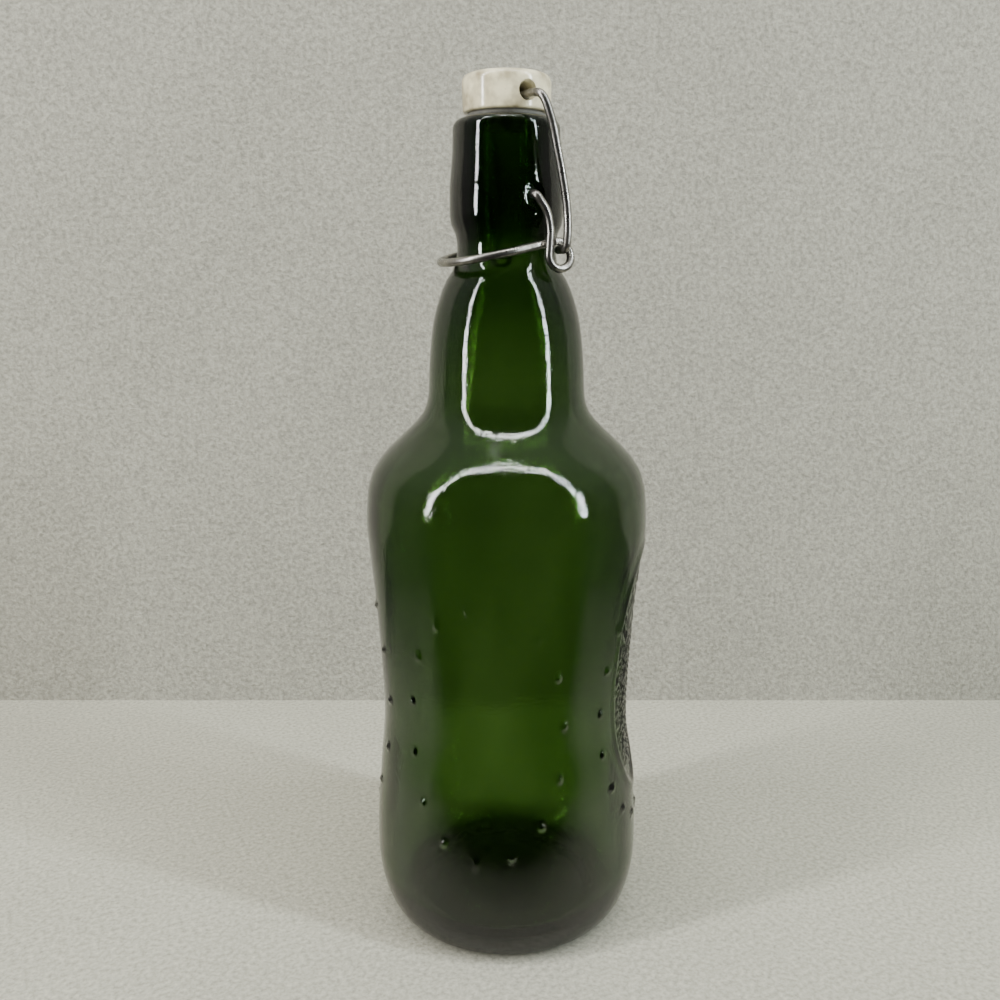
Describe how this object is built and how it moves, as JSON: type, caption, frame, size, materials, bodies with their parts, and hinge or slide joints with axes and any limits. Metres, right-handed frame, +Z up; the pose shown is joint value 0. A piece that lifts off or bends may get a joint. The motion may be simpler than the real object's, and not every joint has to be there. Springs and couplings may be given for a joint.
{
  "type": "beer bottle",
  "caption": "Green glass swing-top beer bottle with a waisted body, domed shoulder, collared neck, porcelain stopper, rubber washer and wire lever closure.",
  "frame": {"origin": "centre of the ring that the bottle stands on", "axes": "+Z up along the bottle's axis; the lever's handle is towards -X and its eyes towards +X; the closure turns about the Y direction"},
  "size_m": [0.0856, 0.0856, 0.2568],
  "materials": {
    "bottle_glass": "clear dark green container glass, fire-polished",
    "porcelain": "cream white porcelain with a clear gloss glaze",
    "washer_rubber": "grey moulded rubber, matt",
    "steel_wire": "bright drawn steel wire"
  },
  "bodies": {
    "glass": {"bottle": "bottle_glass"},
    "lever_wire": {"lever": "steel_wire"},
    "bail_wire": {"bail": "steel_wire"},
    "stopper_set": {"stopper": "porcelain", "gasket": "washer_rubber"}
  },
  "joints": [
    {"name": "lever_swing", "type": "hinge", "parent": "glass", "child": "lever_wire", "pos_m": [0, 0, 0.2231], "axis": [0, 1, 0], "range_deg": [0, 96]},
    {"name": "bail_turn", "type": "hinge", "parent": "lever_wire", "child": "bail_wire", "pos_m": [0.0078, 0, 0.2082], "axis": [0, 1, 0], "range_deg": [-58.56, 0]},
    {"name": "stopper_turn", "type": "hinge", "parent": "bail_wire", "child": "stopper_set", "pos_m": [0, 0, 0.2495], "axis": [0, 1, 0], "range_deg": [-37.44, 0], "deforming": ["gasket"]}
  ],
  "couplings": [
    {"joint": "bail_turn", "follows": "lever_swing", "ratio": -0.61},
    {"joint": "stopper_turn", "follows": "lever_swing", "ratio": -0.39}
  ]
}
